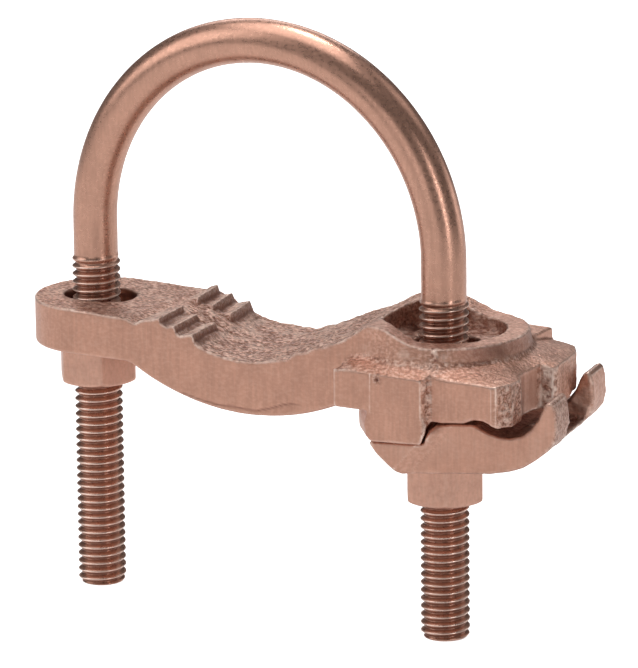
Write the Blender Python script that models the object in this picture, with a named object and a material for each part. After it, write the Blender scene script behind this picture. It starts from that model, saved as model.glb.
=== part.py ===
"""Ground clamp for a pipe: a U-bolt, a toothed saddle, a cable keeper and two hex nuts.

Frame: the origin is on the axis of the U-bolt's bend, which is the pipe's axis. X runs from the plain leg to
the leg with the cable jaw, Y runs along the pipe, and Z points up through the crown of the bend.
"""

import math

import bmesh
import bpy
from mathutils import Matrix, Vector

MM = 0.001
GAP = 0.3 * MM  # left between pieces that touch
OVERLAP = 0.4 * MM  # shared by shapes that are joined into one casting

# U-bolt
LEG_X = 38.97 * MM  # bend radius, so also the distance of each leg from the middle
SHANK_R = 4.35 * MM
THREAD_R = 4.7625 * MM  # 3/8-16 UNC
THREAD_TOP = -9.5 * MM
LEG_END = -73.8 * MM
LEG_CHAMFER = 0.8 * MM
BEND_STEPS = 56
ROUND_STEPS = 40

# Nuts
NUT_FLATS = 14.29 * MM
NUT_HEIGHT = 8.3 * MM
NUT_FACE_R = 7.0 * MM  # where the chamfer cone meets each end face
NUT_CHAMFER_DROP = 0.9 * MM
NUT_BORE_R = THREAD_R + GAP
RIGHT_NUT_TOP = -38.3 * MM
LEFT_NUT_TURN = 6.0  # degrees of each nut's corner from +X
RIGHT_NUT_TURN = 0.0

# Saddle arm
ARM_HALF_DEPTH = 14.0 * MM
PAD_CENTRE_X = -36.8 * MM
PAD_TOP = -15.4 * MM
PAD_BOTTOM = -23.9 * MM
SEAT_LEFT = (-18.6 * MM, -14.2 * MM)  # crest over the first tooth
SEAT_RIGHT = (27.4 * MM, -10.2 * MM)
SEAT_R = 17.0 * MM
SEAT_CENTRE = (1.2 * MM, -3.5 * MM)
SEAT_SKEW = 1.8 * MM  # how far the seat's front end lies towards the jaw, and its back end the other way
BELLY_R = 50.0 * MM
BELLY_CENTRE = (3.0 * MM, 18.9 * MM)
SLOT_R = 5.8 * MM
SLOT_X = (-40.2 * MM, -35.7 * MM)

# Teeth on the left slope of the seat
TOOTH_COUNT = 3
TOOTH_PITCH = 3.3 * MM
TOOTH_RISE = 1.3 * MM
TOOTH_START_X = -16.8 * MM
TOOTH_START_Z = -14.5 * MM
TOOTH_INNER_Y = 2.6 * MM
TOOTH_OUTER_Y = 12.4 * MM

# Cable jaw on the saddle
JAW_LEFT = 25.7 * MM
JAW_HALF_DEPTH = 17.5 * MM
JAW_TOP = -17.9 * MM
JAW_BOTTOM = -26.1 * MM
JAW_TIP_X = 62.2 * MM
JAW_CORNER_X = 58.3 * MM
BLOCK_Y = -19.2 * MM
BLOCK_BOTTOM = -25.4 * MM
LUG_X = (33.4 * MM, 44.9 * MM)
LUG_Y = (-19.4 * MM, -12.2 * MM)
LUG_FLARE = 4.4 * MM  # how much wider the lug is at its back, on the arm's side
LUG_BOTTOM = -30.6 * MM
REAR_STEP_X = (46.6 * MM, 52.6 * MM)
REAR_STEP_TOP = -15.4 * MM
RIM_OUTER_R = 16.4 * MM
RIM_FOOT_R = 18.0 * MM
RIM_INNER_R = 11.8 * MM
RIM_TOP = -12.8 * MM
RIM_FOOT_Z = -16.0 * MM
RECESS_FLOOR = -15.7 * MM
JAW_HOLE_R = 6.3 * MM
JAW_HOLE_SHIFT = 1.2 * MM
SCALLOP_R = 7.0 * MM
SCALLOP_CENTRE = (64.2 * MM, -5.3 * MM)

# Keeper, in its own axes: the leg is at x = 0 and the nut bears on z = 0
KEEPER_BASE = (LEG_X, 0.0, -37.4 * MM)
KEEPER_SWIVEL = 10.0  # degrees about the leg
KEEPER_TILT = -4.0  # degrees about the keeper's own Y
KEEPER_HALF_DEPTH = 15.8 * MM
KEEPER_HEEL_X = -9.4 * MM
KEEPER_HEEL_R = 5.0 * MM
KEEPER_TOP = 9.9 * MM
HOOK_CENTRE = (16.5 * MM, 11.9 * MM)
HOOK_R = 11.8 * MM
HOOK_TIP_Z = 14.0 * MM
TIP_R = 1.15 * MM
CRADLE_CENTRE = (18.3 * MM, 14.1 * MM)
CRADLE_R = 7.0 * MM
CRADLE_LIP_X = 11.4 * MM
KEEPER_HOLE_R = 6.2 * MM
HEEL_STEP_X = 4.9 * MM
HEEL_STEP_Y = -10.2 * MM
HEEL_STEP_Z = 5.6 * MM
NOTCH_HALF_WIDTH = 7.5 * MM
NOTCH_FLOOR = 4.2 * MM
NOTCH_X = 20.5 * MM

COPPER = (0.62, 0.33, 0.24)


def clear_scene():
    for obj in list(bpy.data.objects):
        bpy.data.objects.remove(obj, do_unlink=True)


def new_collection(name, hidden=False):
    collection = bpy.data.collections.new(name)
    bpy.context.scene.collection.children.link(collection)
    collection.hide_render = hidden
    return collection


def new_material(name, roughness, metallic):
    material = bpy.data.materials.new(name)
    material.use_nodes = True
    shader = material.node_tree.nodes["Principled BSDF"]
    shader.inputs["Base Color"].default_value = (*COPPER, 1.0)
    shader.inputs["Roughness"].default_value = roughness
    shader.inputs["Metallic"].default_value = metallic
    material.diffuse_color = (*COPPER, 1.0)
    return material


def arc(centre, radius, start, end, steps):
    """Points of an arc, from one angle in degrees to the other."""
    points = []
    for i in range(steps + 1):
        angle = math.radians(start + (end - start) * i / steps)
        points.append((centre[0] + radius * math.cos(angle), centre[1] + radius * math.sin(angle)))
    return points


def object_from(name, mesh, collection):
    obj = bpy.data.objects.new(name, mesh)
    collection.objects.link(obj)
    return obj


def prism(name, outline, low, high, along, collection, far_outline=None):
    """A flat outline carried from low to high. It lies in XZ when along is Y, and in XY when along is Z.

    With a far outline of as many points, the solid runs straight from one to the other.
    """
    place = (lambda p, h: (p[0], h, p[1])) if along == "Y" else (lambda p, h: (p[0], p[1], h))
    shape = bmesh.new()
    ring_a = [shape.verts.new(place(p, low)) for p in outline]
    ring_b = [shape.verts.new(place(p, high)) for p in far_outline or outline]
    shape.faces.new(ring_a)
    shape.faces.new(reversed(ring_b))
    for i, corner in enumerate(ring_a):
        after = (i + 1) % len(ring_a)
        shape.faces.new((corner, ring_b[i], ring_b[after], ring_a[after]))
    bmesh.ops.recalc_face_normals(shape, faces=shape.faces)
    mesh = bpy.data.meshes.new(name)
    shape.to_mesh(mesh)
    shape.free()
    return object_from(name, mesh, collection)


def turned(name, profile, x, collection, steps=ROUND_STEPS, turn=0.0):
    """A closed solid of revolution about the vertical line through x, from (radius, height) pairs."""
    shape = bmesh.new()
    rings = []
    for radius, height in profile:
        rings.append([shape.verts.new((x + radius * math.cos(a), radius * math.sin(a), height))
                      for a in (math.radians(turn) + math.tau * i / steps for i in range(steps))])
    for lower, upper in zip(rings, rings[1:]):
        for i in range(steps):
            after = (i + 1) % steps
            shape.faces.new((lower[i], lower[after], upper[after], upper[i]))
    shape.faces.new(rings[0])
    shape.faces.new(rings[-1])
    bmesh.ops.recalc_face_normals(shape, faces=shape.faces)
    mesh = bpy.data.meshes.new(name)
    shape.to_mesh(mesh)
    shape.free()
    return object_from(name, mesh, collection)


def box(name, x, y, z, collection):
    outline = [(x[0], z[0]), (x[1], z[0]), (x[1], z[1]), (x[0], z[1])]
    return prism(name, outline, y[0], y[1], "Y", collection)


def combine(target, other, operation):
    modifier = target.modifiers.new(other.name, "BOOLEAN")
    modifier.operation = operation
    modifier.solver = "EXACT"
    modifier.object = other
    other.display_type = "WIRE"
    other.hide_render = True


def make_u_bolt(parts, helpers):
    """One bent rod: the shank follows the bend, and both ends are thicker where the thread is rolled."""
    curve = bpy.data.curves.new("shank", "CURVE")
    curve.dimensions = "3D"
    curve.bevel_depth = SHANK_R
    curve.bevel_resolution = 8
    curve.use_fill_caps = True
    path = [(LEG_X, THREAD_TOP - MM)]
    path += arc((0, 0), LEG_X, 0, 180, BEND_STEPS)
    path += [(-LEG_X, THREAD_TOP - MM)]
    spline = curve.splines.new("POLY")
    spline.points.add(len(path) - 1)
    for point, (x, z) in zip(spline.points, path):
        point.co = (x, 0, z, 1)
    guide = bpy.data.objects.new("shank_guide", curve)
    mesh = bpy.data.meshes.new_from_object(guide)
    bpy.data.objects.remove(guide)
    shape = bmesh.new()
    shape.from_mesh(mesh)
    bmesh.ops.remove_doubles(shape, verts=shape.verts, dist=0.01 * MM)
    bmesh.ops.recalc_face_normals(shape, faces=shape.faces)
    shape.to_mesh(mesh)
    shape.free()
    bolt = object_from("u_bolt", mesh, parts)
    profile = [
        (THREAD_R - LEG_CHAMFER, LEG_END),
        (THREAD_R, LEG_END + LEG_CHAMFER),
        (THREAD_R, THREAD_TOP - LEG_CHAMFER),
        (SHANK_R - OVERLAP, THREAD_TOP),
    ]
    for side, x in (("left", -LEG_X), ("right", LEG_X)):
        combine(bolt, turned(f"{side}_thread", profile, x, helpers), "UNION")
    bolt.data.shade_smooth()
    return bolt


def make_nut(name, x, top, turn, parts, helpers):
    """A hex nut with both faces chamfered, standing round one leg."""
    corner_r = NUT_FLATS / math.sqrt(3)
    bottom = top - NUT_HEIGHT
    nut = turned(name, [(corner_r, bottom), (corner_r, top)], x, parts, 6, turn)
    cone = [
        (NUT_FACE_R, bottom),
        (corner_r + OVERLAP, bottom + NUT_CHAMFER_DROP),
        (corner_r + OVERLAP, top - NUT_CHAMFER_DROP),
        (NUT_FACE_R, top),
    ]
    combine(nut, turned(f"{name}_chamfer", cone, x, helpers), "INTERSECT")
    bore = [(NUT_BORE_R, bottom - MM), (NUT_BORE_R, top + MM)]
    combine(nut, turned(f"{name}_bore", bore, x, helpers), "DIFFERENCE")
    return nut


def arm_outline(skew):
    """The arm seen along the pipe: pad, toothed slope, pipe seat, end wall of the seat, and the belly."""
    pad_left = PAD_CENTRE_X - ARM_HALF_DEPTH - MM
    belly_end = BELLY_CENTRE[1] - math.sqrt(BELLY_R**2 - (LEG_X - BELLY_CENTRE[0]) ** 2)
    seat = [(-23.0 * MM, PAD_TOP), (-20.6 * MM, SEAT_LEFT[1]), SEAT_LEFT]
    seat += arc(SEAT_CENTRE, SEAT_R, 247, 294, 8)
    seat += [SEAT_RIGHT, (29.6 * MM, -10.0 * MM), (33.0 * MM, RIM_TOP - MM)]
    outline = [(pad_left, PAD_TOP)] + [(x + skew, z) for x, z in seat]
    outline += [(LEG_X, RIM_TOP - MM), (LEG_X, belly_end)]
    outline += arc(BELLY_CENTRE, BELLY_R, 308, 242, 12)
    outline += [(-23.6 * MM, PAD_BOTTOM), (pad_left, PAD_BOTTOM)]
    return outline


def arm_plan():
    pad = arc((PAD_CENTRE_X, 0), ARM_HALF_DEPTH, 90, 270, 18)
    return pad + [(LEG_X, -ARM_HALF_DEPTH), (LEG_X, ARM_HALF_DEPTH)]


def jaw_outline():
    """The jaw seen along the pipe. Its underside ends in the nose that presses on the cable."""
    return [
        (JAW_LEFT, JAW_TOP),
        (JAW_LEFT, BLOCK_BOTTOM),
        (LUG_X[0], BLOCK_BOTTOM),
        (LUG_X[0] + 2 * MM, JAW_BOTTOM),
        (52.0 * MM, JAW_BOTTOM),
        (54.0 * MM, -25.0 * MM),
        (56.0 * MM, -24.8 * MM),
        (58.2 * MM, -25.3 * MM),
        (60.4 * MM, -25.6 * MM),
        (62.0 * MM, -24.9 * MM),
        (JAW_TIP_X + MM, -23.4 * MM),
        (JAW_TIP_X + MM, JAW_TOP),
    ]


def jaw_plan():
    """The jaw seen from above: square at the arm, with clipped corners and a scallop at the tip."""
    scallop = arc(SCALLOP_CENTRE, SCALLOP_R, 246, 123, 10)
    return [
        (JAW_LEFT, JAW_HALF_DEPTH),
        (JAW_LEFT, -JAW_HALF_DEPTH),
        (JAW_CORNER_X, -JAW_HALF_DEPTH),
        *scallop,
        (JAW_TIP_X, 3.6 * MM),
        (JAW_CORNER_X, JAW_HALF_DEPTH),
        (52.4 * MM, 19.4 * MM),
        (46.6 * MM, 19.4 * MM),
        (44.4 * MM, JAW_HALF_DEPTH),
    ]


def slot_outline(ends, radius):
    return arc((ends[1], 0), radius, -90, 90, 16) + arc((ends[0], 0), radius, 90, 270, 16)


def add_teeth(saddle, helpers):
    """Two rows of cross ridges on the seat's left slope, stepped down towards the pipe."""
    slope = math.radians(-24.0)
    for row, side in (("front", -1), ("back", 1)):
        low, high = sorted((side * TOOTH_INNER_Y, side * TOOTH_OUTER_Y))
        for i in range(TOOTH_COUNT):
            x = TOOTH_START_X - side * SEAT_SKEW / 2 + TOOTH_PITCH * i * math.cos(slope)
            z = TOOTH_START_Z + TOOTH_PITCH * i * math.sin(slope)
            outline = [
                (x - 1.3 * MM, z - 2.2 * MM),
                (x + 1.8 * MM, z - 2.8 * MM),
                (x + 1.3 * MM, z + TOOTH_RISE - 1.2 * MM),
                (x - 0.6 * MM, z + TOOTH_RISE - 0.7 * MM),
            ]
            tooth = prism(f"tooth_{row}_{i}", outline, low, high, "Y", helpers)
            combine(saddle, tooth, "UNION")


def make_saddle(parts, helpers):
    """The saddle casting: arm, toothed seat, slotted pad, and the jaw with its rimmed recess."""
    front, back = arm_outline(SEAT_SKEW), arm_outline(-SEAT_SKEW)
    saddle = prism("saddle", front, -ARM_HALF_DEPTH, ARM_HALF_DEPTH, "Y", parts, back)
    plan = prism("arm_plan", arm_plan(), -60 * MM, 10 * MM, "Z", helpers)
    combine(saddle, plan, "INTERSECT")
    jaw = prism("jaw", jaw_outline(), -30 * MM, 30 * MM, "Y", helpers)
    combine(jaw, prism("jaw_plan", jaw_plan(), -60 * MM, 10 * MM, "Z", helpers), "INTERSECT")
    combine(saddle, jaw, "UNION")
    block_y = (BLOCK_Y, OVERLAP - JAW_HALF_DEPTH)
    block = box("block", (JAW_LEFT, LUG_X[0] + MM), block_y, (BLOCK_BOTTOM, JAW_TOP - 0.2 * MM), helpers)
    combine(saddle, block, "UNION")
    lug = [(LUG_X[0], LUG_Y[0]), (LUG_X[1], LUG_Y[0]), (LUG_X[1], LUG_Y[1]), (LUG_X[0] - LUG_FLARE, LUG_Y[1])]
    combine(saddle, prism("lug", lug, LUG_BOTTOM, JAW_TOP - 0.1 * MM, "Z", helpers), "UNION")
    rear_y = (12 * MM, 19.2 * MM)
    combine(saddle, box("rear_step", REAR_STEP_X, rear_y, (JAW_TOP - MM, REAR_STEP_TOP), helpers), "UNION")
    rim = [(RIM_FOOT_R, JAW_TOP - MM), (RIM_OUTER_R, RIM_FOOT_Z), (RIM_OUTER_R, RIM_TOP)]
    combine(saddle, turned("rim", rim, LEG_X, helpers), "UNION")
    recess = [(RIM_INNER_R - MM, RECESS_FLOOR), (RIM_INNER_R, RIM_TOP), (RIM_INNER_R, 0.0)]
    combine(saddle, turned("recess", recess, LEG_X, helpers), "DIFFERENCE")
    add_teeth(saddle, helpers)
    hole = slot_outline((LEG_X, LEG_X + JAW_HOLE_SHIFT), JAW_HOLE_R)
    combine(saddle, prism("jaw_hole", hole, -60 * MM, 10 * MM, "Z", helpers), "DIFFERENCE")
    slot = slot_outline(SLOT_X, SLOT_R)
    combine(saddle, prism("pad_slot", slot, -60 * MM, 10 * MM, "Z", helpers), "DIFFERENCE")
    return saddle


def keeper_outline():
    """The keeper seen along its cradle: heel, flat under the nut, hook, fingertip, cradle and flat top."""
    heel_centre = (KEEPER_HEEL_X + KEEPER_HEEL_R, KEEPER_HEEL_R)
    tip_centre = (HOOK_CENTRE[0] + HOOK_R - TIP_R, HOOK_TIP_Z - TIP_R)
    outline = arc(heel_centre, KEEPER_HEEL_R, 180, 270, 6)
    outline += arc(HOOK_CENTRE, HOOK_R, 270, 360, 14)
    outline += arc(tip_centre, TIP_R, 20, 190, 6)
    outline += arc(CRADLE_CENTRE, CRADLE_R, -18, -112, 12)
    outline += [(CRADLE_LIP_X, KEEPER_TOP), (KEEPER_HEEL_X, KEEPER_TOP)]
    return outline


def make_keeper(parts, helpers):
    """The cable keeper: a hook with two fingers, the notch between them, and a heel that clears the lug."""
    keeper = prism("keeper", keeper_outline(), -KEEPER_HALF_DEPTH, KEEPER_HALF_DEPTH, "Y", parts)
    hole = [(KEEPER_HOLE_R, -5 * MM), (KEEPER_HOLE_R, 30 * MM)]
    notch_x = (NOTCH_X, HOOK_CENTRE[0] + HOOK_R + MM)
    notch_y = (-NOTCH_HALF_WIDTH, NOTCH_HALF_WIDTH)
    step_x = (KEEPER_HEEL_X - MM, HEEL_STEP_X)
    step_y = (-KEEPER_HALF_DEPTH - MM, HEEL_STEP_Y)
    cutters = [
        turned("keeper_hole", hole, 0.0, helpers),
        box("finger_notch", notch_x, notch_y, (NOTCH_FLOOR, 30 * MM), helpers),
        box("heel_step", step_x, step_y, (HEEL_STEP_Z, 30 * MM), helpers),
    ]
    swivel = Matrix.Rotation(math.radians(KEEPER_SWIVEL), 4, "Z")
    tilt = Matrix.Rotation(math.radians(KEEPER_TILT), 4, "Y")
    pose = Matrix.Translation(Vector(KEEPER_BASE)) @ swivel @ tilt
    for cutter in cutters:
        cutter.matrix_world = pose
        combine(keeper, cutter, "DIFFERENCE")
    keeper.matrix_world = pose
    return keeper


def main():
    clear_scene()
    parts = new_collection("ground_clamp")
    helpers = new_collection("helpers", hidden=True)
    rod = new_material("rod_copper", 0.38, 0.85)
    cast = new_material("cast_copper", 0.55, 0.8)
    nut_finish = new_material("nut_copper", 0.42, 0.85)
    make_u_bolt(parts, helpers).data.materials.append(rod)
    make_saddle(parts, helpers).data.materials.append(cast)
    make_keeper(parts, helpers).data.materials.append(cast)
    left_nut = make_nut("left_nut", -LEG_X, PAD_BOTTOM - GAP, LEFT_NUT_TURN, parts, helpers)
    left_nut.data.materials.append(nut_finish)
    right_nut = make_nut("right_nut", LEG_X, RIGHT_NUT_TOP, RIGHT_NUT_TURN, parts, helpers)
    right_nut.data.materials.append(nut_finish)


main()
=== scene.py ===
"""Ground clamp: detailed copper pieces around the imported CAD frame, on a pale studio floor."""

import math

import bmesh
import bpy
import numpy as np
from mathutils import Matrix, Vector


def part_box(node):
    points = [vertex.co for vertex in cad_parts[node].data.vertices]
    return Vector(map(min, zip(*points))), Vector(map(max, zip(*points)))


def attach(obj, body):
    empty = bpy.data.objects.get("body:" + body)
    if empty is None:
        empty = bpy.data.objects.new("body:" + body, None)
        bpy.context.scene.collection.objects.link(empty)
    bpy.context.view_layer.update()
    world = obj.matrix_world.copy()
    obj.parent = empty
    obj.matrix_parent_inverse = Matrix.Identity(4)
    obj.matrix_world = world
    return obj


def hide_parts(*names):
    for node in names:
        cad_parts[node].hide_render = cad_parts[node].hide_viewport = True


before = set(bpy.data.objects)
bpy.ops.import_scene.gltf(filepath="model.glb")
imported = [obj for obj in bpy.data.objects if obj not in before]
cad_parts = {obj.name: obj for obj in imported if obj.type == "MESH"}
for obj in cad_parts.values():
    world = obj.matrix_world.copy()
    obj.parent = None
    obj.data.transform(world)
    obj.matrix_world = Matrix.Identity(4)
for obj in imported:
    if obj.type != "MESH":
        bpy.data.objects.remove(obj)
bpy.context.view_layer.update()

MM = 0.001
bolt_low, bolt_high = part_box("u_bolt")
THREAD_R = 4.7625  # the CAD legs are drawn at the thread's outer radius
LEG_X = bolt_high.x / MM - THREAD_R
LEG_END = bolt_low.z / MM
PITCH = 1.5875

# ---------------------------------------------------------------- camera, floor and light
CAMERA_YAW = 0.5285151
CAMERA_TILT = 0.25094795
CAMERA_ROLL = -0.0107363
CAMERA_DISTANCE = 1.0513310
CAMERA_AIM = (0.0115149, 0.0, -0.0173127)
SENSOR_WIDTH = 36
LENS = 294.76
CLIP_START, CLIP_END = 0.05, 20

FLOOR_HALF = 8.0
FLOOR_GAP = 0.0001
# how brightly the stage glows on the metal, and where the camera looks straight at it
FLOOR_GLOW, FLOOR_GLOW_SEEN = 0.16, 0.95
WORLD_GLOW, WORLD_GLOW_SEEN = 0.10, 1.0

LIGHT_AIM = (0.01, 0, -0.015)
LIGHTS = [  # name, place, width and height in metres, power in watts
    ("key_softbox", (-0.72, -0.50, 0.45), (0.7, 0.7), 2.4),
    ("high_fill", (0.45, 0.55, 0.70), (0.5, 0.5), 0.45),
    ("rear_fill", (0.60, 0.75, 0.06), (0.5, 0.4), 0.7),
    ("front_fill", (0.05, -0.95, 0.12), (0.5, 0.4), 0.55),
    ("side_strip", (0.72, -0.34, 0.12), (0.10, 0.6), 1.0),
    ("top_softbox", (-0.2, -0.05, 0.8), (0.7, 0.7), 2.75),
    ("sparkle_light", (-0.18, 0.30, 0.85), (0.16, 0.16), 1.6),
    ("back_softbox", (-0.42, 0.72, 0.42), (0.6, 0.25), 1.0),
]


def make_camera():
    """A long lens a metre away, a little above the clamp and to the right of its front."""
    back = Vector((
        math.sin(CAMERA_YAW) * math.cos(CAMERA_TILT),
        -math.cos(CAMERA_YAW) * math.cos(CAMERA_TILT),
        math.sin(CAMERA_TILT),
    ))
    right = (-back).cross(Vector((0, 0, 1))).normalized()
    up = right.cross(-back)
    c, s = math.cos(CAMERA_ROLL), math.sin(CAMERA_ROLL)
    across = right * c + up * s
    above = up * c - right * s
    place = Vector(CAMERA_AIM) + back * CAMERA_DISTANCE
    data = bpy.data.cameras.new("studio_camera")
    data.sensor_width = SENSOR_WIDTH
    data.lens = LENS
    data.clip_start = CLIP_START
    data.clip_end = CLIP_END
    camera = bpy.data.objects.new("studio_camera", data)
    camera.matrix_world = Matrix([
        (across.x, above.x, back.x, place.x),
        (across.y, above.y, back.y, place.y),
        (across.z, above.z, back.z, place.z),
        (0, 0, 0, 1),
    ])
    bpy.context.scene.collection.objects.link(camera)
    bpy.context.scene.camera = camera


def stage_glow(tree, unseen, seen, socket):
    """Gives the socket one strength where the camera sees the stage and another for all other light."""
    rays = tree.nodes.new("ShaderNodeLightPath")
    glow = tree.nodes.new("ShaderNodeMapRange")
    glow.inputs["To Min"].default_value = unseen
    glow.inputs["To Max"].default_value = seen
    tree.links.new(rays.outputs["Is Camera Ray"], glow.inputs["Value"])
    tree.links.new(glow.outputs["Result"], socket)


def make_floor():
    """A wide pale sheet under the legs, which glows a little so that shadows stay faint."""
    mesh = bpy.data.meshes.new("floor")
    z = LEG_END * MM - FLOOR_GAP
    corners = [(-1, -1), (1, -1), (1, 1), (-1, 1)]
    mesh.from_pydata([(a * FLOOR_HALF, b * FLOOR_HALF, z) for a, b in corners], [], [(0, 1, 2, 3)])
    floor = bpy.data.objects.new("floor", mesh)
    bpy.context.scene.collection.objects.link(floor)
    material = bpy.data.materials.new("pale_floor")
    material.use_nodes = True
    shader = material.node_tree.nodes["Principled BSDF"]
    shader.inputs["Base Color"].default_value = (0.9, 0.9, 0.9, 1)
    shader.inputs["Roughness"].default_value = 0.9
    shader.inputs["Emission Color"].default_value = (1, 1, 1, 1)
    stage_glow(material.node_tree, FLOOR_GLOW, FLOOR_GLOW_SEEN, shader.inputs["Emission Strength"])
    mesh.materials.append(material)


def make_studio():
    """A white world and soft boxes round the clamp."""
    world = bpy.data.worlds.new("studio")
    world.use_nodes = True
    back = world.node_tree.nodes["Background"]
    back.inputs["Color"].default_value = (1, 1, 1, 1)
    stage_glow(world.node_tree, WORLD_GLOW, WORLD_GLOW_SEEN, back.inputs["Strength"])
    bpy.context.scene.world = world
    bpy.context.scene.view_settings.view_transform = "Standard"
    for name, place, size, energy in LIGHTS:
        data = bpy.data.lights.new(name, "AREA")
        data.shape = "RECTANGLE"
        data.size, data.size_y = size
        data.energy = energy
        light = bpy.data.objects.new(name, data)
        light.location = place
        light.rotation_mode = "QUATERNION"
        light.rotation_quaternion = (Vector(LIGHT_AIM) - Vector(place)).to_track_quat("-Z", "Y")
        bpy.context.scene.collection.objects.link(light)


# ---------------------------------------------------------------- noise and distance fields, in millimetres
LATTICE = 32  # the noise repeats after this many cells


class Lattice:
    """Smooth random noise from a fixed lattice, from -1 to 1."""

    def __init__(self, seed):
        self.values = np.random.default_rng(seed).random((LATTICE, LATTICE, LATTICE)) * 2 - 1

    def __call__(self, points, size):
        scaled = points / np.array(size, float)
        cell = np.floor(scaled).astype(int)
        part = scaled - cell
        part = part * part * (3 - 2 * part)
        total = 0
        for corner in np.ndindex(2, 2, 2):
            share = np.prod(np.where(corner, part, 1 - part), axis=-1)
            total = total + share * self.values[tuple(((cell + corner) % LATTICE).T)]
        return total


noise_a = Lattice(3)
noise_b = Lattice(11)


def unit(a):
    """The value, held between 0 and 1."""
    return np.clip(a, 0, 1)


def smax(a, b, k):
    """The larger value, with the corner between the two rounded over the width k."""
    h = unit(0.5 + 0.5 * (a - b) / k)
    return b + (a - b) * h + k * h * (1 - h)


def smin(a, b, k):
    """The smaller value, rounded in the same way."""
    return -smax(-a, -b, k)


def polygon(u, v, points):
    """Signed distance to a closed outline, negative inside."""
    best = np.inf
    inside = False
    for (ax, ay), (bx, by) in zip(points, points[1:] + points[:1]):
        ex, ey = bx - ax, by - ay
        wx, wy = u - ax, v - ay
        t = unit((wx * ex + wy * ey) / (ex * ex + ey * ey))
        best = np.minimum(best, (wx - ex * t) ** 2 + (wy - ey * t) ** 2)
        if ay != by:
            inside = inside ^ (((ay > v) != (by > v)) & (u < ex * (v - ay) / ey + ax))
    return np.where(inside, -1, 1) * np.sqrt(best)


def lookup(value, knots):
    """The height at a place, from a table of (place, height)."""
    return np.interp(value, *zip(*knots))


def smooth_curve(knots, width, step=0.1):
    """A height table with its corners rounded over the width given."""
    xs = np.arange(knots[0][0], knots[-1][0] + step, step)
    zs = lookup(xs, knots)
    window = np.hanning(int(width / step) + 3)
    padded = np.pad(zs, len(window) // 2, mode="edge")
    zs = np.convolve(padded, window / window.sum(), mode="same")[len(window) // 2:][:len(xs)]
    return xs, zs


def surface_of(field, low, high, cell):
    """Vertices and quads of the field's zero surface, by surface nets."""
    axes = [np.arange(a, b + cell, cell) for a, b in zip(low, high)]
    f = field(axes[0][:, None, None], axes[1][None, :, None], axes[2][None, None, :])
    inside = f < 0
    shape = np.array(f.shape) - 1
    held = 0
    for corner in np.ndindex(2, 2, 2):
        held = held + inside[tuple(slice(o, o + n) for o, n in zip(corner, shape))].astype(np.int8)
    cells = np.argwhere((held > 0) & (held < 8))
    number = np.full(tuple(shape), -1, int)
    number[tuple(cells.T)] = np.arange(len(cells))
    total = np.zeros((len(cells), 3))
    count = np.zeros(len(cells))
    for axis in range(3):
        others = [a for a in range(3) if a != axis]
        for pair in np.ndindex(2, 2):
            start = np.zeros(3, int)
            start[others] = pair
            end = start.copy()
            end[axis] = 1
            fa = f[tuple((cells + start).T)]
            fb = f[tuple((cells + end).T)]
            cross = (fa < 0) != (fb < 0)
            t = np.where(cross, fa / np.where(cross, fa - fb, 1), 0)
            spot = start + t[:, None] * (end - start)
            total += spot * cross[:, None]
            count += cross
    points = np.array(low) + (cells + total / count[:, None]) * cell
    quads = []
    for axis, (p, q) in enumerate([(1, 2), (2, 0), (0, 1)]):
        a = np.moveaxis(inside, axis, 0)
        change = np.moveaxis(a[1:] != a[:-1], 0, axis)
        at = np.argwhere(change)
        at = at[(at[:, p] > 0) & (at[:, q] > 0) & (at[:, p] < shape[p]) & (at[:, q] < shape[q])]
        step_p, step_q = np.eye(3, dtype=int)[p], np.eye(3, dtype=int)[q]
        ring = [at - step_p - step_q, at - step_q, at, at - step_p]
        quad = np.stack([number[tuple(r.T)] for r in ring], axis=1)
        out = inside[tuple(at.T)]
        quads.append(np.where(out[:, None], quad, quad[:, ::-1]))
    return points, np.concatenate(quads)


def gradient(field, points, h=0.04):
    """How the field changes along each axis, at each point."""
    x, y, z = points.T
    return np.stack([
        field(x + h, y, z) - field(x - h, y, z),
        field(x, y + h, z) - field(x, y - h, z),
        field(x, y, z + h) - field(x, y, z - h),
    ], axis=1) / (2 * h)


def settle(field, points, cell, rounds=3):
    """Moves the points onto the field's zero surface."""
    for _ in range(rounds):
        g = gradient(field, points)
        size = np.maximum((g * g).sum(1), 0.2)
        move = -(field(*points.T) / size)[:, None] * g
        length = np.linalg.norm(move, axis=1, keepdims=True)
        points = points + move * np.minimum(1, 0.4 * cell / np.maximum(length, 1e-9))
    return points


def outward(field, points):
    """The surface's normals."""
    g = gradient(field, points)
    return g / np.maximum(np.linalg.norm(g, axis=1, keepdims=True), 1e-9)


BEND_STEP = 0.3


def bend_of(field, points):
    """How sharply the surface bends: above 0 where it bulges outward, below 0 in an inner corner."""
    x, y, z = points.T
    h = BEND_STEP
    around = (
        field(x + h, y, z) + field(x - h, y, z) + field(x, y + h, z)
        + field(x, y - h, z) + field(x, y, z + h) + field(x, y, z - h)
    )
    return (around - 6 * field(x, y, z)) / h


def make_piece(name, points, faces, values, material, place=None):
    """A smooth mesh object, with one float attribute for each set of values."""
    mesh = bpy.data.meshes.new(name)
    mesh.from_pydata((points * MM).tolist(), [], faces.tolist())
    for key, data in values.items():
        mesh.attributes.new(key, "FLOAT", "POINT").data.foreach_set("value", data.astype(np.float32))
    if place is not None:
        mesh.transform(place)
    mesh.materials.append(material)
    mesh.shade_smooth()
    piece = bpy.data.objects.new(name, mesh)
    bpy.context.scene.collection.objects.link(piece)
    return piece


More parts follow.
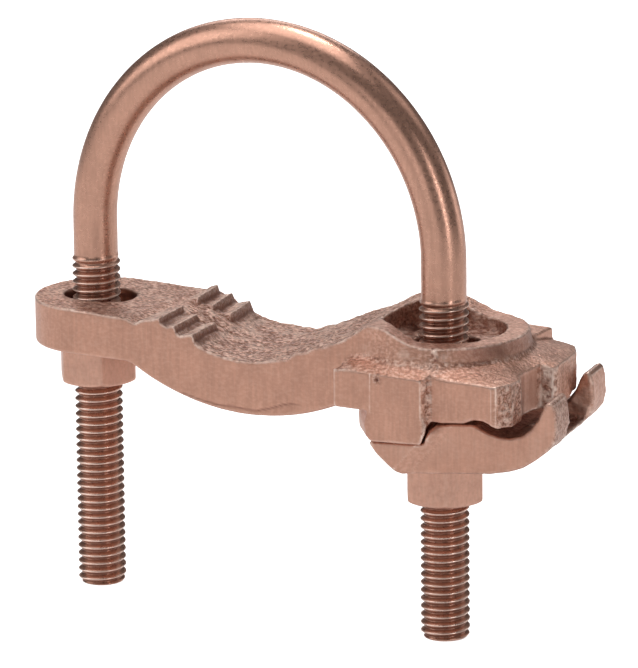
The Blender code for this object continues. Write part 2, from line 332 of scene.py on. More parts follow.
# ---------------------------------------------------------------- copper
METALLIC = 0.9
COAT, COAT_ROUGH = 0.12, 0.4
PATCH_SCALE = 180.0
PATCH_DARK, PATCH_LIGHT = 0.93, 1.06
BRUSH_SCALE = 1900.0
BRUSH_DARK, BRUSH_LIGHT = 0.95, 1.05
GRAIN_START, GRAIN_LEAST = 0.08, 0.02
SPECK_STRETCH = (0.6, 1.0, 1.0)
DARK_SPECKS = (0.47, 0.38)  # the noise values where these specks start and where they are full
BRIGHT_SPECKS = (0.535, 0.60)
ROUGH_SPREAD = 0.05
FINE_BUMP, FINE_BUMP_HEIGHT = 0.35, 0.00004


def node(tree, kind, **settings):
    """A new node, with settings for its properties or its inputs."""
    made = tree.nodes.new(kind)
    for key, value in settings.items():
        if hasattr(made, key):
            setattr(made, key, value)
        else:
            made.inputs[key].default_value = value
    return made


def map_range(tree, value, start, end, low=0.0, high=1.0):
    """Turns start..end of the value into low..high, and holds it there."""
    made = tree.nodes.new("ShaderNodeMapRange")
    for key, number in (("From Min", start), ("From Max", end), ("To Min", low), ("To Max", high)):
        made.inputs[key].default_value = number
    tree.links.new(value, made.inputs["Value"])
    return made.outputs["Result"]


def noise(tree, place, stretch=None, **settings):
    """Noise over the piece, in its own coordinates."""
    made = node(tree, "ShaderNodeTexNoise", **settings)
    if stretch is not None:
        mapping = node(tree, "ShaderNodeMapping", Scale=stretch)
        tree.links.new(place, mapping.inputs["Vector"])
        place = mapping.outputs["Vector"]
    tree.links.new(place, made.inputs["Vector"])
    return made.outputs["Fac"]


def paint_over(tree, under, colour, share):
    """Mixes a colour over what lies under it, by the share at each point."""
    made = node(tree, "ShaderNodeMix", data_type="RGBA", blend_type="MIX")
    tree.links.new(share, made.inputs["Factor"])
    tree.links.new(under, made.inputs[6])
    made.inputs[7].default_value = (*colour, 1)
    return made.outputs[2]


def copper(name, light, shade_and_dark_marks, grain_glint, edge, rough, grain_bump, grain_size, streak):
    """Satin copper. The mesh says where it is rough, where painted shade darkens it, and where painted
    highlights and wear brighten its rims.
    """
    material = bpy.data.materials.new(name)
    material.use_nodes = True
    tree = material.node_tree
    link = tree.links.new
    shader = tree.nodes["Principled BSDF"]
    shader.inputs["Metallic"].default_value = METALLIC
    shader.inputs["Coat Weight"].default_value = COAT
    shader.inputs["Coat Roughness"].default_value = COAT_ROUGH
    place = node(tree, "ShaderNodeTexCoord").outputs["Object"]
    masks = {}
    for key in ("grain", "shade_and_dark_marks", "edge"):
        masks[key] = node(tree, "ShaderNodeAttribute", attribute_name=key).outputs["Fac"]

    tone = node(tree, "ShaderNodeValToRGB")
    ends = ((0.3, PATCH_DARK), (0.7, PATCH_LIGHT))
    for element, (position, shade) in zip(tone.color_ramp.elements, ends):
        element.position = position
        element.color = (*[min(1, c * shade) for c in light], 1)
    link(noise(tree, place, Scale=PATCH_SCALE, Detail=4.0), tone.inputs["Fac"])

    brushed = noise(tree, place, streak, Scale=BRUSH_SCALE, Detail=3.0)
    streaked = node(tree, "ShaderNodeMix", data_type="RGBA", blend_type="MULTIPLY", Factor=1.0)
    link(tone.outputs["Color"], streaked.inputs[6])
    link(map_range(tree, brushed, 0.35, 0.65, BRUSH_DARK, BRUSH_LIGHT), streaked.inputs[7])

    grain_share = map_range(tree, masks["grain"], GRAIN_START, 1.0, GRAIN_LEAST)
    specks = noise(tree, place, SPECK_STRETCH, Scale=grain_size * 1.15, Detail=2.0, Roughness=0.55)
    colour = streaked.outputs[2]
    # dark grain specks, and bright grain flecks painted as glints
    for span, speck in ((DARK_SPECKS, shade_and_dark_marks), (BRIGHT_SPECKS, grain_glint)):
        there = node(tree, "ShaderNodeMath", operation="MULTIPLY")
        link(map_range(tree, specks, *span), there.inputs[0])
        link(grain_share, there.inputs[1])
        colour = paint_over(tree, colour, speck, there.outputs["Value"])
    # painted shade, with a few real dark marks such as the parting line, where the mesh's mask asks for it
    colour = paint_over(tree, colour, shade_and_dark_marks, masks["shade_and_dark_marks"])
    # painted highlights, with some edge wear, where the mesh's mask asks for it
    colour = paint_over(tree, colour, edge, masks["edge"])
    link(colour, shader.inputs["Base Color"])
    dull = map_range(tree, specks, 0.62, 0.38, rough - ROUGH_SPREAD, rough + ROUGH_SPREAD)
    link(dull, shader.inputs["Roughness"])

    coarse = node(tree, "ShaderNodeBump", Distance=grain_bump * MM)
    link(grain_share, coarse.inputs["Strength"])
    link(noise(tree, place, Scale=grain_size, Detail=5.0, Roughness=0.6), coarse.inputs["Height"])
    fine = node(tree, "ShaderNodeBump", Strength=FINE_BUMP, Distance=FINE_BUMP_HEIGHT)
    link(brushed, fine.inputs["Height"])
    link(coarse.outputs["Normal"], fine.inputs["Normal"])
    link(fine.outputs["Normal"], shader.inputs["Normal"])
    return material


# ---------------------------------------------------------------- U-bolt
ROWS_PER_TURN = 12
ROD_SIDES = 64
SHANK_R = 4.33
CREST_R = 4.75
THREAD_TOP = -6.4
RUN_OUT = 3.0
END_CHAMFER_R = 4.1
END_CHAMFER_SLOPE = 0.9
SPARE_TURNS = 2.5  # the tube runs on past each leg's end, where it is cut off square
FINE_MARGIN = 2.0  # rows stay close together this far past the thread
WIDEST_ROW = 6.5  # and on the bend they grow up to this many times as far apart
THREAD_DEPTH = (0.0, 0.02, 0.18, 0.36, 0.54, 0.70, 0.82, 0.86, 0.72, 0.50, 0.30, 0.12)
ROD_GRAIN = 0.05


def rod_rows():
    """Distance along the rod of each row: close together on the threads, far apart on the bend."""
    leg = -LEG_END
    length = 2 * leg + math.pi * LEG_X
    fine = PITCH / ROWS_PER_TURN
    thread = leg + THREAD_TOP + FINE_MARGIN
    rows = [-SPARE_TURNS * PITCH]
    while rows[-1] < length + SPARE_TURNS * PITCH:
        inside = min(rows[-1] - thread, length - thread - rows[-1])
        rows.append(rows[-1] + fine * (1 if inside < 0 else min(WIDEST_ROW, 1 + 0.5 * inside)))
    return np.array(rows), length


def make_rod(material):
    """One tube whose rows wind round it a thread's pitch for each turn, so that the threads are helical."""
    rows, length = rod_rows()
    leg = -LEG_END
    count = len(rows) - ROWS_PER_TURN
    side = np.arange(ROD_SIDES)[None, :] / ROD_SIDES
    index = np.arange(count)[:, None] + ROWS_PER_TURN * side
    s = np.interp(index, np.arange(len(rows)), rows)
    cut = np.array(THREAD_DEPTH)[np.arange(count) % ROWS_PER_TURN][:, None] + 0 * s
    end_gap = np.minimum(s, length - s)
    height = LEG_END + end_gap
    full = unit((THREAD_TOP - height) / RUN_OUT)
    full = full * full * (3 - 2 * full)
    radius = SHANK_R + (CREST_R - SHANK_R) * unit(full * 2) - full * cut
    radius = np.minimum(radius, END_CHAMFER_R + np.maximum(end_gap, 0) * END_CHAMFER_SLOPE)
    angle = np.clip((s - leg) / LEG_X, 0, math.pi)
    out = np.stack([-np.cos(angle), 0 * angle, np.sin(angle)], axis=-1)
    centre = out * LEG_X
    centre[..., 2] += np.where(s < leg, s - leg, 0) - np.where(s > length - leg, s - length + leg, 0)
    turn = 2 * math.pi * np.broadcast_to(side, s.shape)[..., None]
    points = centre + radius[..., None] * (np.cos(turn) * out + np.sin(turn) * np.array([0, -1.0, 0]))
    flat = points.reshape(-1, 3)
    wobble = 0.012 * noise_a(flat, (1.6, 1.6, 1.6)) + 0.02 * noise_b(flat, (5, 5, 5))
    away = flat - centre.reshape(-1, 3)
    flat = flat + away / np.linalg.norm(away, axis=1, keepdims=True) * wobble[:, None]
    row = np.arange(count - 1)[:, None]
    col = np.arange(ROD_SIDES)[None, :]
    near = row * ROD_SIDES + col
    wrap = np.where(col == ROD_SIDES - 1, ROWS_PER_TURN * ROD_SIDES + row * ROD_SIDES, near + 1)
    quads = np.stack([near, wrap, wrap + ROD_SIDES, near + ROD_SIDES], axis=-1).reshape(-1, 4)
    quads = quads[quads.max(1) < len(flat)]
    values = {
        # painted shade in the thread roots and a painted highlight along the thread crests
        "shade_and_dark_marks": 0.75 * (full * unit(cut / 0.8) ** 1.5).reshape(-1),
        "edge": 0.9 * (full * unit(1 - cut / 0.15)).reshape(-1),
        "grain": np.full(len(flat), ROD_GRAIN),
    }
    rod = make_piece("u_bolt_rod", flat, quads, values, material)
    close_ends(rod.data)
    return rod


def close_ends(mesh):
    """Cuts both legs off square at the floor and caps them."""
    body = bmesh.new()
    body.from_mesh(mesh)
    everything = body.verts[:] + body.edges[:] + body.faces[:]
    plane = (0, 0, LEG_END * MM)
    cut = bmesh.ops.bisect_plane(
        body, geom=everything, plane_co=plane, plane_no=(0, 0, -1), clear_outer=True)
    rim = [e for e in cut["geom_cut"] if isinstance(e, bmesh.types.BMEdge)]
    caps = bmesh.ops.edgeloop_fill(body, edges=rim)["faces"]
    for cap in caps:
        cap.smooth = False
    bmesh.ops.poke(body, faces=caps)
    bmesh.ops.recalc_face_normals(body, faces=body.faces)
    body.to_mesh(mesh)
    body.free()


# ---------------------------------------------------------------- nuts
NUT_FLATS = 14.29
NUT_BORE_R = 5.0
NUT_SINK_R = NUT_BORE_R + 0.7
NUT_FACE_R = 7.0
NUT_CELL = 0.3
NUT_GRAIN = 0.12
LEFT_NUT_TURN = 6.0


def nut_field(height):
    """A hexagon with chamfered faces and a countersunk bore."""
    def field(x, y, z):
        r = np.hypot(x, y)
        ends = np.abs(z - height / 2) - height / 2
        sides = np.abs(y) - NUT_FLATS / 2
        for turn in (60, 120):
            a = math.radians(turn)
            sides = smax(sides, np.abs(y * math.cos(a) + x * math.sin(a)) - NUT_FLATS / 2, 0.45)
        cone = (r - NUT_FACE_R + ends * 1.7) * 0.5
        sink = (NUT_SINK_R - r + ends) * 0.7
        return smax(smax(smax(sides, ends, 0.35), cone, 0.35), smax(NUT_BORE_R - r, sink, 0.1), 0.2)
    return field


def make_nut(name, node_name, turn, material):
    """A nut on its leg's axis, turned about it by so many degrees."""
    low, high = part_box(node_name)
    height = (high.z - low.z) / MM
    field = nut_field(height)
    points, quads = surface_of(field, (-9, -8.4, -0.6), (9, 8.4, height + 0.6), NUT_CELL)
    points = settle(field, points, NUT_CELL)
    points[:, 2] = np.clip(points[:, 2], 0, height)
    values = {
        # painted shade in the bore, and painted highlights with some wear along the rounded rims
        "shade_and_dark_marks": unit((NUT_BORE_R + 0.5 - np.hypot(points[:, 0], points[:, 1])) * 1.6) * 0.8,
        "edge": unit(bend_of(field, points) * 0.9 - 0.15) * 0.45,
        "grain": np.full(len(points), NUT_GRAIN),
    }
    place = Matrix.Translation(((low.x + high.x) / 2, 0, low.z)) @ Matrix.Rotation(math.radians(turn), 4, "Z")
    return make_piece(name, points, quads, values, material, place)


# ---------------------------------------------------------------- saddle casting
SADDLE_CELL = 0.32
ARM_Y = 14.0
ARM_END_X = 34.0
PAD_X = -36.8
PAD_BOTTOM = -23.9
SLOT_ENDS = (-39.6, -36.5)
SLOT_R = 5.8
BELLY_X, BELLY_Z, BELLY_R = 3.0, 18.9, 50.0
# height of the seat along the front and the back edge of the arm
FRONT_TABLE = smooth_curve([
    (-60, -14.9), (-34, -15.0), (-23.5, -15.3), (-21.6, -16.1), (-20.2, -15.3), (-18.3, -14.9),
    (-15.4, -15.4), (-12.2, -16.8), (-11.2, -17.5), (-8.7, -17.7), (-7.4, -18.8), (-5.5, -19.5),
    (-2.3, -20.2), (0.9, -20.6), (4.1, -20.5), (7.2, -20.1), (10.4, -19.5), (12.6, -19.0),
    (14.0, -17.8), (16.7, -17.2), (18.3, -16.1), (20.5, -15.7), (23, -14.6), (24.9, -13.8),
    (27.8, -11.8), (30.6, -10.0), (34, -9.7), (60, -9.7)], 0.8)
BACK_TABLE = smooth_curve([
    (-60, -14.8), (-38, -14.9), (-27, -15.2), (-23.7, -15.2), (-19.1, -15.2), (-14.6, -17.2),
    (-10, -19.1), (-5.5, -20.1), (-1, -20.3), (3.6, -20.2), (8.1, -18.5), (12.6, -16.6),
    (17, -14.7), (21.5, -13), (25.9, -10.4), (28.5, -9.6), (60, -9.6)], 1.6)
# two rows of three teeth, which run a little aslant across the arm, and the groove between the rows
TOOTH_TABLE = smooth_curve([
    (-60, -30), (-21.6, -18.0), (-20.0, -15.4), (-18.9, -14.4), (-17.4, -14.0), (-16.8, -15.75),
    (-16.3, -15.8), (-14.1, -15.2), (-13.4, -17.1), (-12.8, -17.15), (-10.0, -16.4), (-9.3, -18.4),
    (-8.0, -19.1), (-4, -24), (60, -30)], 0.2, 0.04)
GROOVE_TABLE = smooth_curve([
    (-60, -30), (-23, -16.5), (-20, -15.4), (-17.5, -15.6), (-16, -15.9), (-14.7, -16.3),
    (-13.2, -16.8), (-11.8, -17.3), (-10.4, -17.9), (-9, -18.5), (-7, -19.5), (-3, -21.5),
    (60, -30)], 0.8)
TOOTH_SLANT = 0.1
TOOTH_FEET = (-16.4, -13.0, -8.9)
FRONT_ROW_Y, FRONT_ROW_HALF = -8.9, 5.4
REAR_ROW_Y, REAR_ROW_HALF = 8.0, 4.3
# the rim round the right leg, the recess inside it and the hole for the leg
RIM_TABLE = smooth_curve([
    (20, -9.7), (33.6, -9.8), (35.6, -10.4), (38, -11.4), (40.6, -12.4), (43.5, -12.8),
    (60, -12.5)], 1.2)
RIM_R = 16.3
RIM_FLARE_Z = -12.7
RIM_BOTTOM = -24.5
RECESS_R = 12.0
RECESS_FLOOR = -15.4
LEG_HOLE_R = 6.3
LEG_HOLE_LENGTH = 1.2
# the jaw's flange, whose outer end has two lobes with a scallop between them
JAW_PLAN = [
    (25.7, -19.2), (33.4, -19.2), (33.6, -19.4), (44.5, -19.4), (45.7, -17.5), (58.4, -17.4),
    (59.2, -16.9), (60.9, -13.4), (60.7, -9.6), (59.7, -8.4), (59.2, -5.6), (59.2, -2.4),
    (59.6, 0.2), (61.7, 0.9), (62.2, 2.2), (61.4, 8.0), (60.4, 13.2), (58.0, 17.4), (53.6, 19.2),
    (46.6, 19.2), (46.0, 17.5), (25.7, 17.5)]
JAW_INNER_R = 16.9
JAW_TOP, JAW_TOP_DROP = -16.0, 1.9
JAW_UNDER = [
    (25, -25.4), (33.3, -25.4), (33.9, -26.2), (48, -26.3), (52.4, -25.8), (54.6, -24.9),
    (56.6, -24.9), (57.8, -25.3), (59.2, -26.2), (61.0, -26.3), (62.5, -25.4)]
STEP_PLAN = [(46.9, 11), (52.4, 11), (52.2, 19.2), (46.9, 19.2)]
STEP_TOP, STEP_BOTTOM = -15.3, -24.0
# the lug that hangs from the flange in front of the keeper's heel
LUG_PLAN = [(31.6, -19.4), (49.0, -19.4), (48.6, -17.6), (45.2, -12.8), (27.4, -12.8)]
LUG_FRONT = -19.4
LUG_TOP, LUG_FOOT = -17.9, -31.0
LUG_SIDE_DEPTH = 2.5
LUG_LEFT = [(-31.6, 34.2), (-30.2, 32.9), (-28.1, 32.5), (-25.3, 33.2), (-18.8, 33.6)]
LUG_RIGHT = [(-31.6, 42.2), (-29.3, 42.8), (-27.9, 43.6), (-26.5, 45.2)]
LUG_FACE = [(-31.2, 44.3), (-30.7, 44.65), (-29.4, 45.05), (-27.9, 45.7), (-26.6, 45.8), (-25.0, 44.9),
            (-18, 44.4)]
# small marks of the casting: the parting line under the belly and a pit on the lug
SEAM = [(-13.5, -28.0), (-7.6, -29.3), (-3.1, -29.9), (0.4, -29.75), (3.3, -30.05), (5.8, -30.0),
        (8.7, -29.1), (11.6, -28.05), (13.8, -27.6), (16.1, -27.8)]
PIT_X, PIT_Z = 35.2, -18.9


def seat_height(x, y):
    """Height of the seat, between its front and back edges."""
    share = unit((y + ARM_Y) / (2 * ARM_Y))
    return np.interp(x, *FRONT_TABLE) * (1 - share) + np.interp(x, *BACK_TABLE) * share


def tooth_rows(x, y):
    """Height of the two rows of teeth. Each row has rounded ends, and a groove runs between the rows."""
    along = x + TOOTH_SLANT * y
    height = np.interp(along, *TOOTH_TABLE) + lookup(y, [(-4, -0.25), (4, -0.1), (12, 0.35)])
    front = np.maximum(np.abs(y - FRONT_ROW_Y) - FRONT_ROW_HALF, 0)
    rear = np.maximum(np.abs(y - REAR_ROW_Y) - REAR_ROW_HALF, 0)
    floor = np.interp(along, *GROOVE_TABLE) + 0.065 * y - 0.8 * np.maximum(np.abs(y) - 4.5, 0)
    return smax(height - 1.5 * np.minimum(front, rear), floor, 0.15)


def jaw_reach():
    """How far the jaw's outline is from the leg's axis in each direction, for its sloping top."""
    angles = np.radians(np.arange(-180, 180, 2.0))
    radii = np.linspace(14, 34, 201)
    ray_x = LEG_X + radii * np.cos(angles)[:, None]
    ray_y = radii * np.sin(angles)[:, None]
    inside = polygon(ray_x, ray_y, JAW_PLAN) < 0
    reach = radii[inside.shape[1] - 1 - np.argmax(inside[:, ::-1], axis=1)]
    window = np.hanning(11)
    padded = np.concatenate([reach[-5:], reach, reach[:6]])
    smooth = np.convolve(padded, window / window.sum(), mode="valid")
    return np.append(angles, math.pi), smooth


JAW_REACH = jaw_reach()


def arm_field(x, y, z):
    """The arm with its pad, slot, seat and teeth, and the rim round the right leg."""
    r = np.hypot(x - LEG_X, y)
    rise = np.interp(x + 0.25 * np.clip(RIM_R - r, 0, 5), *RIM_TABLE)
    top = smin(smax(seat_height(x, y), tooth_rows(x, y), 0.15), rise, 0.8)
    plan = np.where(x < PAD_X, np.hypot(x - PAD_X, y), np.abs(y)) - ARM_Y
    arm = np.maximum(plan, x - ARM_END_X)
    wall = (r - RIM_R - 0.2 * np.clip(RIM_FLARE_Z - z, 0, 4)) * 0.96
    slot = np.hypot(x - np.clip(x, *SLOT_ENDS), y) - SLOT_R
    below = smin(PAD_BOTTOM - z, np.hypot(x - BELLY_X, z - BELLY_Z) - BELLY_R, 0.8)
    below = np.minimum(below, np.maximum(r - RIM_R, RIM_BOTTOM - z))
    body = smax(smax(smin(arm, wall, 2.0), (z - top) * 0.85, 0.35), below, 0.7)
    return smax(body, -slot, 0.5)


def flange_field(x, y, z):
    """The jaw's flange, with the step at its back corner."""
    r = np.hypot(x - LEG_X, y)
    reach = np.interp(np.arctan2(y, x - LEG_X), *JAW_REACH)
    share = np.clip((r - JAW_INNER_R) / np.maximum(reach - JAW_INNER_R, 0.8), 0, 1.1)
    ledge = JAW_TOP - JAW_TOP_DROP * share
    under = lookup(x, JAW_UNDER)
    under = under + 0.55 * unit((x - 56.5) / 2) * unit((y - 5) / 5)
    under = under + 0.4 * unit((x - 59) / 0.8) * unit((y - 9) / 2)
    flange = smax(polygon(x, y, JAW_PLAN), (z - ledge) * 0.95, 0.35)
    flange = smax(flange, (under - z) * 0.95, 0.6)
    step = smax(polygon(x, y, STEP_PLAN), z - STEP_TOP, 0.8)
    return smin(flange, np.maximum(step, STEP_BOTTOM - z), 0.6)


def lug_field(x, y, z):
    """The lug, undercut on its right side so that the keeper's heel clears it."""
    foot = LUG_FOOT + 0.06 * (x - 37.0)
    left = lookup(z, LUG_LEFT) - 0.82 * (y - LUG_FRONT)
    face = lookup(z, LUG_FACE)
    behind = unit((y - LUG_FRONT) / LUG_SIDE_DEPTH)
    side = face + behind * (lookup(z, LUG_RIGHT) - face)
    lug = smax(polygon(x, y, LUG_PLAN), np.maximum(z - LUG_TOP, foot - z), 0.5)
    return smax(smax(lug, (left - x) * 0.75, 0.5), (x - side) * 0.85, 0.5)


def saddle_field(x, y, z):
    """The whole saddle, with its recess and the hole for the right leg."""
    flange = smin(flange_field(x, y, z), lug_field(x, y, z), 0.3)
    body = smin(arm_field(x, y, z), flange, 0.9)
    recess = smax(np.hypot(x - LEG_X, y) - RECESS_R, RECESS_FLOOR - z, 0.9)
    body = smax(body, -recess, 0.5)
    hole = np.hypot(x - np.clip(x, LEG_X, LEG_X + LEG_HOLE_LENGTH), y) - LEG_HOLE_R
    return smax(body, -hole, 0.6)


def make_saddle(material):
    """The saddle, with its regions' sand-cast relief and masks for the copper."""
    low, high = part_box("saddle")
    low, high = np.array(low) / MM, np.array(high) / MM
    points, quads = surface_of(saddle_field, low - 1.2, high + 2.0, SADDLE_CELL)
    points = settle(saddle_field, points, SADDLE_CELL)
    normal = outward(saddle_field, points)
    x, y, z = points.T
    r = np.hypot(x - LEG_X, y)

    # regions, each from 0 to 1
    up = unit((normal[:, 2] - 0.25) * 2.5)
    bowl = up * unit((x + 19) / 3) * unit((31 - x) / 4)
    teeth = unit((x + 22) / 2) * unit((-6 - x) / 2) * (z > -20)
    row = unit((FRONT_ROW_HALF - np.abs(y - FRONT_ROW_Y)) * 2)
    row = row + unit((REAR_ROW_HALF - np.abs(y - REAR_ROW_Y)) * 2)
    along = x + TOOTH_SLANT * y
    # painted shade on the tooth risers that face +X, and a painted shadow in the valley just past each
    # riser's foot
    foot = sum(unit(1.6 - np.abs(along - c) / 0.45) for c in TOOTH_FEET) * row * up
    riser = teeth * unit(np.maximum(normal[:, 0] * 2 - 0.5, foot))
    wall = unit(1 - np.abs(r - RIM_R - 0.3) / 1.1) * unit(z + 16.8) * unit((x - 28) / 6)
    # painted shade on the part of the rim wall that faces +X
    shade = wall * unit(((x - LEG_X) / r - 0.5) * 4)
    rim_top = unit((RIM_R - 0.1 - r) * 2) * unit((r - RECESS_R - 0.2) * 2) * up
    ledge = unit((r - JAW_INNER_R) / 0.8) * unit((x - 26.5) / 3) * up
    recess = unit((RECESS_R + 0.6 - r) * 2) * (z > -17)
    lobes = unit((x - 58.6) / 1.5) * unit(1 - up)
    scallop = lobes * unit((3.9 - np.abs(y + 4.6)) * 1.5)
    lobes = lobes - scallop
    corner = unit(1 - np.abs(x - 45.3) / 0.9) * (y < -15) * (1 - up)
    front = unit(-normal[:, 1] * 4 - 3) * unit((14.5 - np.abs(x - 1.6)) / 3)
    seam_z = lookup(x, SEAM)
    seam = front * unit(1 - np.abs(z - seam_z) / 0.3)
    pit_r = np.hypot(x - PIT_X, z - PIT_Z) + 9 * (y > -18.6)

    grain = 0.12 + 0.75 * up + 0.3 * bowl + 0.5 * wall + 0.5 * recess
    grain = unit(grain + 0.7 * lobes * (1 - 0.6 * unit(y - 1.5)) + 0.8 * corner)
    grain = unit(grain + 0.4 * riser - 0.45 * rim_top - 0.4 * ledge - 0.3 * wall)

    # relief along the normal
    streaks = noise_a(points, (3.2, 1.0, 1.4))
    chips = noise_b(points, (1.3, 0.9, 0.9))
    lumps = noise_a(points, (2.6, 2.4, 2.4))
    grit = noise_a(points, (0.7, 0.7, 0.7))
    move = 0.10 * grain * lumps + 0.14 * bowl * streaks + 0.16 * bowl * chips
    move += (0.05 * wall + 0.10 * recess + 0.10 * lobes + 0.10 * corner) * chips
    move += (0.11 + 0.05 * np.maximum(wall, lobes)) * unit(grain * 1.3 - 0.3) * grit
    move += 0.02 * noise_a(points, (5, 5, 9))
    move -= 0.25 * bowl * unit(chips * streaks * 3 - 0.5)
    move -= 0.04 * front * unit((seam_z - z) * 3) + 0.10 * seam
    move -= 0.5 * unit(1 - pit_r / 0.8)
    grain = unit(grain + unit(1 - pit_r / 1.2))
    points = points + normal * np.clip(move - 0.02, -0.6, 0.22)[:, None]
    points = np.clip(points, low, high)

    bend = bend_of(saddle_field, points)
    # painted highlights with some edge wear on outer bends and raised bumps; painted highlights on the tooth
    # tops, as flecks on the lobes and the front corner near x 45, and as a bright strip on the lobe; fainter
    # on the risers
    edge = unit(bend * 1.7 - 0.6) * (0.75 + 0.6 * grit) + np.clip(move * 5 - 0.1, 0, 0.4)
    edge += 0.35 * teeth * row * up
    edge = edge * (1 - 0.8 * riser) + 0.45 * (lobes + corner) * (y < 2) * unit(0.1 + grit * 2)
    edge += 0.6 * lobes * unit(1.6 - np.abs(y - 0.6) / 0.9) * unit(0.5 + grit)
    # painted shade in inner corners and dents, in the recess, the leg hole and the slot, on the risers, in
    # the scallop (more so lower down) and on the rim wall that faces +X; the parting line is a real dark mark
    shade_and_dark_marks = unit(-bend * 0.8 - 0.15) * 0.6 + recess * 0.35 + np.clip(-move * 3, 0, 0.45)
    shade_and_dark_marks += 0.5 * unit((LEG_HOLE_R + 0.6 - np.hypot(x - LEG_X - 0.5, y)) * 2) + 0.6 * seam
    shade_and_dark_marks += 0.55 * riser + scallop * np.clip(0.6 + (-19.0 - z) * 0.1, 0, 0.95) + 0.7 * shade
    shade_and_dark_marks += 0.7 * unit((SLOT_R + 0.6 - np.hypot(x - np.clip(x, *SLOT_ENDS), y)) * 2)
    values = {"shade_and_dark_marks": unit(shade_and_dark_marks), "edge": unit(edge), "grain": grain}
    return make_piece("saddle_casting", points, quads, values, material)


# ---------------------------------------------------------------- keeper casting
# in its own axes, with the leg at x = 0 and the nut under z = 0
KEEPER_BASE_Z = -37.4
KEEPER_SWIVEL = 10.0
KEEPER_TILT = -4.0
KEEPER_CELL = 0.36
KEEPER_Y = 15.8
KEEPER_OUTLINE = [
    (-3.0, 0.0), (14.2, 0.1), (18.2, 0.6), (21.0, 1.4), (23.7, 3.0), (25.9, 4.6), (27.4, 6.3),
    (28.1, 8.6), (28.15, 12.2), (27.9, 13.6), (27.2, 14.2), (26.3, 13.9), (25.5, 12.8), (24.5, 10.8),
    (22.9, 8.9), (21.2, 7.7), (18.6, 7.2), (16.4, 7.5), (14.4, 8.2), (12.1, 9.5), (11.2, 9.8),
    (-9.0, 9.8), (-8.9, 6.2), (-7.6, 4.1), (-5.3, 1.7), (-4.0, 0.5)]
PROUD = 1.3  # how far the heel's front stands out
HEEL_WALL = [(5.7, 1.7), (7.0, 2.2), (8.6, 3.1), (9.6, 4.1), (10.4, 5.4)]
HEEL_BACK = -10.2
HEEL_FLOOR = 6.0
NOTCH_HALF = 7.5
NOTCH_FLOOR = 4.6
NOTCH_X = 20.5
KEEPER_HOLE_R = 6.2


def keeper_field(x, y, z):
    """The hooked keeper: a heel cut away under the lug, and a notch that leaves two fingers."""
    profile = polygon(x, z, KEEPER_OUTLINE)
    proud = PROUD * unit((4.2 - x + (z - 5.7)) / 4.0) * unit((10.0 - z) / 2.0)
    body = smax(profile, smax(y - KEEPER_Y, -KEEPER_Y - proud - y, 0.1) * 0.95, 0.6)
    heel = smax((x - lookup(z, HEEL_WALL)) * 0.85, y - HEEL_BACK, 0.4)
    heel = smax(heel, HEEL_FLOOR - 0.045 * (x - 4.0) - z, 0.6)
    body = smax(body, -heel, 0.7)
    notch = smax(np.abs(y) - NOTCH_HALF, NOTCH_FLOOR - z + 0.1 * np.abs(y), 1.2)
    body = smax(body, -smax(notch, NOTCH_X - x, 1.0), 0.7)
    return smax(body, KEEPER_HOLE_R - np.hypot(x, y), 0.5)


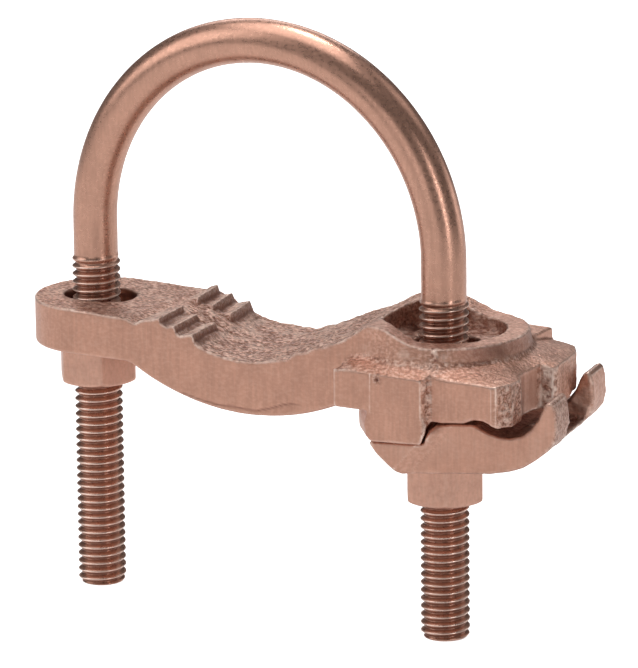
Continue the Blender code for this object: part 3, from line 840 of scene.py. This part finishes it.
def make_keeper(material):
    """The keeper, with a rough notch in painted shade, rough finger tips, the front one darker, and painted
    shade on the rear finger's inner face.
    """
    points, quads = surface_of(keeper_field, (-10.4, -18.8, -1.0), (29.4, 16.8, 15.2), KEEPER_CELL)
    points = settle(keeper_field, points, KEEPER_CELL)
    normal = outward(keeper_field, points)
    x, y, z = points.T
    front = unit(-normal[:, 1] * 2 - 1)
    notch = unit((NOTCH_HALF + 0.7 - np.abs(y)) * 1.5) * unit((x - 18.5) / 1.5)
    tips = unit((x - 24) / 2) * (1 - front)
    rear_tip = unit((x - 22) / 2) * unit((y - 6) / 2)
    inner = rear_tip * unit(-normal[:, 0] * 2)
    grain = unit(0.45 - 0.35 * front + 0.5 * notch + 0.3 * tips - 0.55 * rear_tip)
    chips = noise_b(points, (1.2, 1.2, 1.2))
    lumps = noise_a(points, (3.0, 3.0, 3.0))
    grit = noise_a(points, (0.7, 0.7, 0.7))
    move = 0.08 * grain * lumps + (0.06 * grain + 0.16 * notch) * chips
    move += 0.02 * noise_a(points, (6, 6, 6)) + 0.05 * tips * grit
    points = points + normal * np.clip(move - 0.03, -0.4, 0.12)[:, None]
    bend = bend_of(keeper_field, points)
    # painted highlights with some edge wear on outer bends and raised bumps
    edge = unit(bend * 1.7 - 0.6) * (0.7 + 0.6 * grit) + np.clip(move * 4, 0, 0.25)
    # painted shade in inner corners, dents and the notch and on the rear finger's inner face; the front
    # finger tip is also darker
    shade_and_dark_marks = unit(-bend * 0.8 - 0.15) * 0.6 + 0.4 * notch * (1 - front) + np.clip(-move * 3, 0, 0.35)
    shade_and_dark_marks += 0.6 * inner + 0.35 * tips * (1 - rear_tip)
    values = {"shade_and_dark_marks": unit(shade_and_dark_marks), "edge": unit(edge), "grain": grain}
    place = (
        Matrix.Translation((LEG_X * MM, 0, KEEPER_BASE_Z * MM))
        @ Matrix.Rotation(math.radians(KEEPER_SWIVEL), 4, "Z")
        @ Matrix.Rotation(math.radians(KEEPER_TILT), 4, "Y")
    )
    return make_piece("keeper_casting", points, quads, values, material, place)


# ---------------------------------------------------------------- assembly
make_camera()
make_floor()
make_studio()

rod_copper = copper(
    "rod_copper_satin", light=(0.64, 0.350, 0.255), shade_and_dark_marks=(0.30, 0.15, 0.11), grain_glint=(0.85, 0.58, 0.47),
    edge=(1.0, 0.78, 0.68), rough=0.32, grain_bump=0.05, grain_size=1500.0, streak=(1.0, 1.0, 0.15))
cast_copper = copper(
    "cast_copper_sandy", light=(0.63, 0.338, 0.245), shade_and_dark_marks=(0.27, 0.125, 0.09), grain_glint=(0.98, 0.70, 0.58),
    edge=(1.0, 0.78, 0.67), rough=0.38, grain_bump=0.75, grain_size=1700.0, streak=(1.0, 1.0, 0.10))
nut_copper = copper(
    "nut_copper_satin", light=(0.69, 0.39, 0.292), shade_and_dark_marks=(0.30, 0.13, 0.09), grain_glint=(0.85, 0.58, 0.47),
    edge=(0.88, 0.62, 0.51), rough=0.42, grain_bump=0.06, grain_size=1500.0, streak=(1.0, 1.0, 0.3))

for piece, body, cad_node, slot in (
    (make_rod(rod_copper), "u_bolt", "u_bolt", "rod_copper"),
    (make_saddle(cast_copper), "saddle", "saddle", "cast_copper"),
    (make_keeper(cast_copper), "keeper", "keeper", "cast_copper"),
    (make_nut("left_nut_hex", "left_nut", LEFT_NUT_TURN, nut_copper), "left_nut", "left_nut", "nut_copper"),
    (make_nut("right_nut_hex", "right_nut", 0.0, nut_copper), "right_nut", "right_nut", "nut_copper"),
):
    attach(piece, body)
    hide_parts(cad_node)
